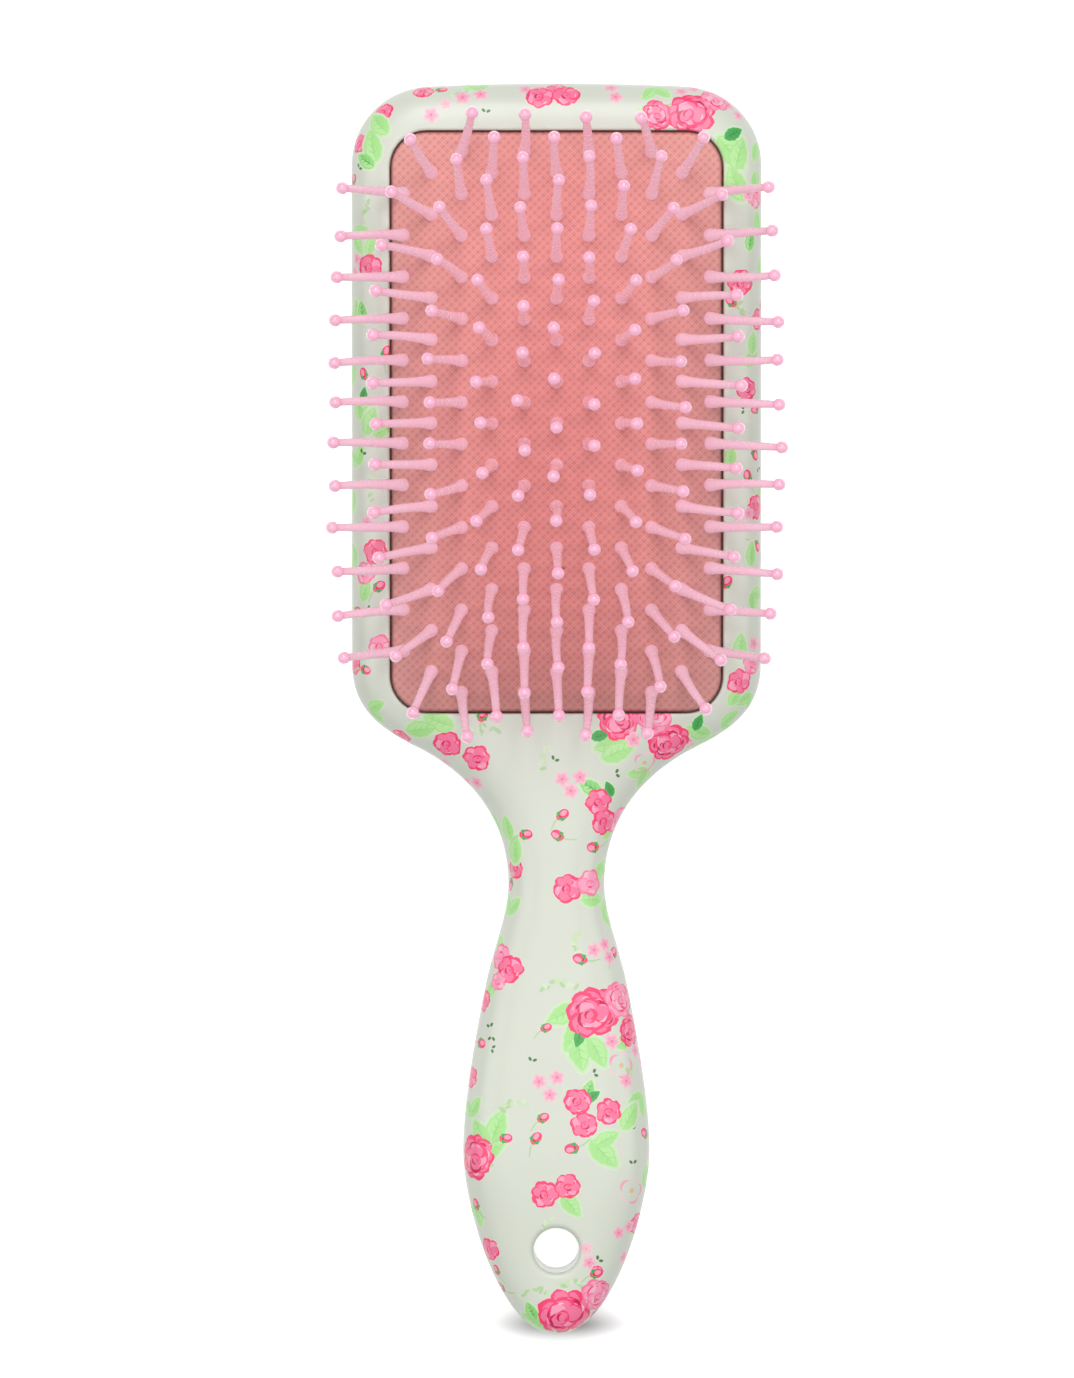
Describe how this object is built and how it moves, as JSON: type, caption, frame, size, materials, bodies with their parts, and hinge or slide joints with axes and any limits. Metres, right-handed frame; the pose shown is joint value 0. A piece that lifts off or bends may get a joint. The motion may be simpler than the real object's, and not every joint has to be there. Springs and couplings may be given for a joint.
{
  "type": "paddle hairbrush",
  "caption": "Flat paddle hairbrush with a waisted handle, a hanging hole and a domed rubber cushion carrying rows of ball-tipped pins.",
  "frame": {"origin": "centre of the bounding box's footprint, on the plane the back of the paddle rests on", "axes": "+Z out of the cushion along the pins, +Y from the handle to the paddle, +X across the paddle"},
  "size_m": [0.0895, 0.245, 0.0407],
  "materials": {
    "body_plastic": "glossy ivory with a printed rose pattern",
    "inner_plastic": "moulded, unpolished",
    "cushion_rubber": "matt with a fine woven relief",
    "pin_plastic": "glossy, slightly translucent"
  },
  "bodies": {
    "body": {"front_shell": "body_plastic", "back_shell": "body_plastic", "cushion_carrier": "inner_plastic", "cushion": "cushion_rubber"},
    "pins_left_5_top": {"pins_left_5_top": "pin_plastic"},
    "pins_left_5_middle": {"pins_left_5_middle": "pin_plastic"},
    "pins_left_5_bottom": {"pins_left_5_bottom": "pin_plastic"},
    "pins_left_4_top": {"pins_left_4_top": "pin_plastic"},
    "pins_left_4_middle": {"pins_left_4_middle": "pin_plastic"},
    "pins_left_4_bottom": {"pins_left_4_bottom": "pin_plastic"},
    "pins_left_3_top": {"pins_left_3_top": "pin_plastic"},
    "pins_left_3_middle": {"pins_left_3_middle": "pin_plastic"},
    "pins_left_3_bottom": {"pins_left_3_bottom": "pin_plastic"},
    "pins_left_2_top": {"pins_left_2_top": "pin_plastic"},
    "pins_left_2_middle": {"pins_left_2_middle": "pin_plastic"},
    "pins_left_2_bottom": {"pins_left_2_bottom": "pin_plastic"},
    "pins_left_1_top": {"pins_left_1_top": "pin_plastic"},
    "pins_left_1_middle": {"pins_left_1_middle": "pin_plastic"},
    "pins_left_1_bottom": {"pins_left_1_bottom": "pin_plastic"},
    "pins_centre_top": {"pins_centre_top": "pin_plastic"},
    "pins_centre_middle": {"pins_centre_middle": "pin_plastic"},
    "pins_centre_bottom": {"pins_centre_bottom": "pin_plastic"},
    "pins_right_1_top": {"pins_right_1_top": "pin_plastic"},
    "pins_right_1_middle": {"pins_right_1_middle": "pin_plastic"},
    "pins_right_1_bottom": {"pins_right_1_bottom": "pin_plastic"},
    "pins_right_2_top": {"pins_right_2_top": "pin_plastic"},
    "pins_right_2_middle": {"pins_right_2_middle": "pin_plastic"},
    "pins_right_2_bottom": {"pins_right_2_bottom": "pin_plastic"},
    "pins_right_3_top": {"pins_right_3_top": "pin_plastic"},
    "pins_right_3_middle": {"pins_right_3_middle": "pin_plastic"},
    "pins_right_3_bottom": {"pins_right_3_bottom": "pin_plastic"},
    "pins_right_4_top": {"pins_right_4_top": "pin_plastic"},
    "pins_right_4_middle": {"pins_right_4_middle": "pin_plastic"},
    "pins_right_4_bottom": {"pins_right_4_bottom": "pin_plastic"},
    "pins_right_5_top": {"pins_right_5_top": "pin_plastic"},
    "pins_right_5_middle": {"pins_right_5_middle": "pin_plastic"},
    "pins_right_5_bottom": {"pins_right_5_bottom": "pin_plastic"}
  },
  "joints": [
    {"name": "cushion_press", "type": "slide", "parent": "body", "child": "pins_centre_middle", "axis": [0, 0, -1], "range_m": [0, 0.003], "stiffness_N_per_m": 2000, "deforming": ["cushion"]},
    {"name": "pins_left_5_top_sink", "type": "hinge", "parent": "body", "child": "pins_left_5_top", "pos_m": [-0.03702, 0.08968, 0.01473], "axis": [0.095, 0.9955, 0], "range_deg": [0, 7.04]},
    {"name": "pins_left_5_middle_sink", "type": "hinge", "parent": "body", "child": "pins_left_5_middle", "pos_m": [-0.03646, 0.0566, 0.01532], "axis": [0, 1, 0], "range_deg": [0, 9.32]},
    {"name": "pins_left_5_bottom_sink", "type": "hinge", "parent": "body", "child": "pins_left_5_bottom", "pos_m": [-0.03702, 0.02352, 0.01473], "axis": [-0.095, 0.9955, 0], "range_deg": [0, 7.04]},
    {"name": "pins_left_4_top_sink", "type": "hinge", "parent": "body", "child": "pins_left_4_top", "pos_m": [-0.03983, 0.10067, 0.01628], "axis": [0.4427, 0.8967, 0], "range_deg": [0, 4.58]},
    {"name": "pins_left_4_middle_sink", "type": "hinge", "parent": "body", "child": "pins_left_4_middle", "pos_m": [-0.04161, 0.0566, 0.01824], "axis": [0, 1, 0], "range_deg": [0, 6.63]},
    {"name": "pins_left_4_bottom_sink", "type": "hinge", "parent": "body", "child": "pins_left_4_bottom", "pos_m": [-0.03983, 0.01253, 0.01628], "axis": [-0.4427, 0.8967, 0], "range_deg": [0, 4.58]},
    {"name": "pins_left_3_top_sink", "type": "hinge", "parent": "body", "child": "pins_left_3_top", "pos_m": [-0.03495, 0.11495, 0.01722], "axis": [0.7996, 0.6006, 0], "range_deg": [0, 3.5]},
    {"name": "pins_left_3_middle_sink", "type": "hinge", "parent": "body", "child": "pins_left_3_middle", "pos_m": [-0.05856, 0.0566, 0.02012], "axis": [0, 1, 0], "range_deg": [0, 3.71]},
    {"name": "pins_left_3_bottom_sink", "type": "hinge", "parent": "body", "child": "pins_left_3_bottom", "pos_m": [-0.03495, -0.00175, 0.01722], "axis": [-0.7996, 0.6006, 0], "range_deg": [0, 3.5]},
    {"name": "pins_left_2_top_sink", "type": "hinge", "parent": "body", "child": "pins_left_2_top", "pos_m": [-0.02111, 0.12451, 0.01779], "axis": [0.9653, 0.2611, 0], "range_deg": [0, 3.27]},
    {"name": "pins_left_2_middle_sink", "type": "slide", "parent": "body", "child": "pins_left_2_middle", "axis": [0, 0, -1], "range_m": [0, 0.00281]},
    {"name": "pins_left_2_bottom_sink", "type": "hinge", "parent": "body", "child": "pins_left_2_bottom", "pos_m": [-0.02111, -0.01131, 0.01779], "axis": [-0.9653, 0.2611, 0], "range_deg": [0, 3.27]},
    {"name": "pins_left_1_top_sink", "type": "hinge", "parent": "body", "child": "pins_left_1_top", "pos_m": [-0.00781, 0.12574, 0.01783], "axis": [0.9989, 0.0462, 0], "range_deg": [0, 3.27]},
    {"name": "pins_left_1_middle_sink", "type": "slide", "parent": "body", "child": "pins_left_1_middle", "axis": [0, 0, -1], "range_m": [0, 0.00294]},
    {"name": "pins_left_1_bottom_sink", "type": "hinge", "parent": "body", "child": "pins_left_1_bottom", "pos_m": [-0.00781, -0.01254, 0.01783], "axis": [-0.9989, 0.0462, 0], "range_deg": [0, 3.27]},
    {"name": "pins_centre_top_sink", "type": "hinge", "parent": "body", "child": "pins_centre_top", "pos_m": [0, 0.12645, 0.01796], "axis": [1, 0, 0], "range_deg": [0, 3.28]},
    {"name": "pins_centre_bottom_sink", "type": "hinge", "parent": "body", "child": "pins_centre_bottom", "pos_m": [0, -0.01325, 0.01796], "axis": [-1, 0, 0], "range_deg": [0, 3.28]},
    {"name": "pins_right_1_top_sink", "type": "hinge", "parent": "body", "child": "pins_right_1_top", "pos_m": [0.00781, 0.12574, 0.01783], "axis": [0.9989, -0.0462, 0], "range_deg": [0, 3.27]},
    {"name": "pins_right_1_middle_sink", "type": "slide", "parent": "body", "child": "pins_right_1_middle", "axis": [0, 0, -1], "range_m": [0, 0.00294]},
    {"name": "pins_right_1_bottom_sink", "type": "hinge", "parent": "body", "child": "pins_right_1_bottom", "pos_m": [0.00781, -0.01254, 0.01783], "axis": [-0.9989, -0.0462, 0], "range_deg": [0, 3.27]},
    {"name": "pins_right_2_top_sink", "type": "hinge", "parent": "body", "child": "pins_right_2_top", "pos_m": [0.02111, 0.12451, 0.01779], "axis": [0.9653, -0.2611, 0], "range_deg": [0, 3.27]},
    {"name": "pins_right_2_middle_sink", "type": "slide", "parent": "body", "child": "pins_right_2_middle", "axis": [0, 0, -1], "range_m": [0, 0.00281]},
    {"name": "pins_right_2_bottom_sink", "type": "hinge", "parent": "body", "child": "pins_right_2_bottom", "pos_m": [0.02111, -0.01131, 0.01779], "axis": [-0.9653, -0.2611, 0], "range_deg": [0, 3.27]},
    {"name": "pins_right_3_top_sink", "type": "hinge", "parent": "body", "child": "pins_right_3_top", "pos_m": [0.03495, 0.11495, 0.01722], "axis": [0.7996, -0.6006, 0], "range_deg": [0, 3.5]},
    {"name": "pins_right_3_middle_sink", "type": "hinge", "parent": "body", "child": "pins_right_3_middle", "pos_m": [0.05856, 0.0566, 0.02012], "axis": [0, -1, 0], "range_deg": [0, 3.71]},
    {"name": "pins_right_3_bottom_sink", "type": "hinge", "parent": "body", "child": "pins_right_3_bottom", "pos_m": [0.03495, -0.00175, 0.01722], "axis": [-0.7996, -0.6006, 0], "range_deg": [0, 3.5]},
    {"name": "pins_right_4_top_sink", "type": "hinge", "parent": "body", "child": "pins_right_4_top", "pos_m": [0.03983, 0.10067, 0.01628], "axis": [0.4427, -0.8967, 0], "range_deg": [0, 4.58]},
    {"name": "pins_right_4_middle_sink", "type": "hinge", "parent": "body", "child": "pins_right_4_middle", "pos_m": [0.04161, 0.0566, 0.01824], "axis": [0, -1, 0], "range_deg": [0, 6.63]},
    {"name": "pins_right_4_bottom_sink", "type": "hinge", "parent": "body", "child": "pins_right_4_bottom", "pos_m": [0.03983, 0.01253, 0.01628], "axis": [-0.4427, -0.8967, 0], "range_deg": [0, 4.58]},
    {"name": "pins_right_5_top_sink", "type": "hinge", "parent": "body", "child": "pins_right_5_top", "pos_m": [0.03702, 0.08968, 0.01473], "axis": [0.095, -0.9955, 0], "range_deg": [0, 7.04]},
    {"name": "pins_right_5_middle_sink", "type": "hinge", "parent": "body", "child": "pins_right_5_middle", "pos_m": [0.03646, 0.0566, 0.01532], "axis": [0, -1, 0], "range_deg": [0, 9.32]},
    {"name": "pins_right_5_bottom_sink", "type": "hinge", "parent": "body", "child": "pins_right_5_bottom", "pos_m": [0.03702, 0.02352, 0.01473], "axis": [-0.095, -0.9955, 0], "range_deg": [0, 7.04]}
  ],
  "couplings": [
    {"joint": "pins_left_5_top_sink", "follows": "cushion_press", "rad_per_m": 40.839},
    {"joint": "pins_left_5_middle_sink", "follows": "cushion_press", "rad_per_m": 54.113},
    {"joint": "pins_left_5_bottom_sink", "follows": "cushion_press", "rad_per_m": 40.839},
    {"joint": "pins_left_4_top_sink", "follows": "cushion_press", "rad_per_m": 26.507},
    {"joint": "pins_left_4_middle_sink", "follows": "cushion_press", "rad_per_m": 38.464},
    {"joint": "pins_left_4_bottom_sink", "follows": "cushion_press", "rad_per_m": 26.507},
    {"joint": "pins_left_3_top_sink", "follows": "cushion_press", "rad_per_m": 20.243},
    {"joint": "pins_left_3_middle_sink", "follows": "cushion_press", "rad_per_m": 21.471},
    {"joint": "pins_left_3_bottom_sink", "follows": "cushion_press", "rad_per_m": 20.243},
    {"joint": "pins_left_2_top_sink", "follows": "cushion_press", "rad_per_m": 18.878},
    {"joint": "pins_left_2_middle_sink", "follows": "cushion_press", "ratio": 0.935},
    {"joint": "pins_left_2_bottom_sink", "follows": "cushion_press", "rad_per_m": 18.878},
    {"joint": "pins_left_1_top_sink", "follows": "cushion_press", "rad_per_m": 18.91},
    {"joint": "pins_left_1_middle_sink", "follows": "cushion_press", "ratio": 0.9758},
    {"joint": "pins_left_1_bottom_sink", "follows": "cushion_press", "rad_per_m": 18.91},
    {"joint": "pins_centre_top_sink", "follows": "cushion_press", "rad_per_m": 18.957},
    {"joint": "pins_centre_bottom_sink", "follows": "cushion_press", "rad_per_m": 18.957},
    {"joint": "pins_right_1_top_sink", "follows": "cushion_press", "rad_per_m": 18.91},
    {"joint": "pins_right_1_middle_sink", "follows": "cushion_press", "ratio": 0.9758},
    {"joint": "pins_right_1_bottom_sink", "follows": "cushion_press", "rad_per_m": 18.91},
    {"joint": "pins_right_2_top_sink", "follows": "cushion_press", "rad_per_m": 18.878},
    {"joint": "pins_right_2_middle_sink", "follows": "cushion_press", "ratio": 0.935},
    {"joint": "pins_right_2_bottom_sink", "follows": "cushion_press", "rad_per_m": 18.878},
    {"joint": "pins_right_3_top_sink", "follows": "cushion_press", "rad_per_m": 20.243},
    {"joint": "pins_right_3_middle_sink", "follows": "cushion_press", "rad_per_m": 21.471},
    {"joint": "pins_right_3_bottom_sink", "follows": "cushion_press", "rad_per_m": 20.243},
    {"joint": "pins_right_4_top_sink", "follows": "cushion_press", "rad_per_m": 26.507},
    {"joint": "pins_right_4_middle_sink", "follows": "cushion_press", "rad_per_m": 38.464},
    {"joint": "pins_right_4_bottom_sink", "follows": "cushion_press", "rad_per_m": 26.507},
    {"joint": "pins_right_5_top_sink", "follows": "cushion_press", "rad_per_m": 40.839},
    {"joint": "pins_right_5_middle_sink", "follows": "cushion_press", "rad_per_m": 54.113},
    {"joint": "pins_right_5_bottom_sink", "follows": "cushion_press", "rad_per_m": 40.839}
  ]
}
